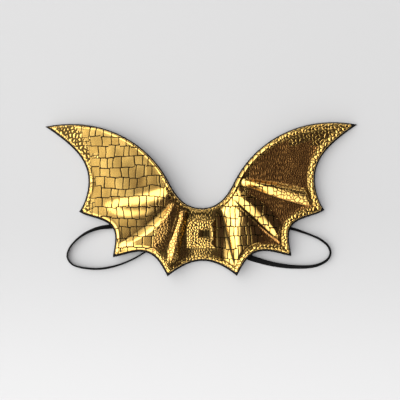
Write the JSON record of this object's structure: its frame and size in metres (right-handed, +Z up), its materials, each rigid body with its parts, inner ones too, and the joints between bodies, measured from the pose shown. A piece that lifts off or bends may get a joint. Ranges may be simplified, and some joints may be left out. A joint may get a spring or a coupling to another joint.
{
  "type": "costume wings",
  "caption": "Small padded bat-style costume wings in gold embossed imitation leather with a black cloth back, a round neck notch and elastic leg loops.",
  "frame": {"origin": "middle of the box round the wings, on the surface that they lie on", "axes": "+X from wing tip to wing tip, +Y towards the tips, +Z up out of the front"},
  "size_m": [0.226, 0.1104, 0.0142],
  "materials": {
    "gold_leather": "metallic gold foil on imitation leather, embossed with tiles, dark in the grooves",
    "black_cloth": "matt black felted cloth",
    "patch_cloth": "matt black woven tape cloth",
    "elastic": "flat braided black elastic"
  },
  "bodies": {
    "root": {"front_cover": "gold_leather", "back_cover": "black_cloth", "strap_patch": "patch_cloth", "leg_loop_left": "elastic", "leg_loop_right": "elastic"}
  },
  "joints": []
}
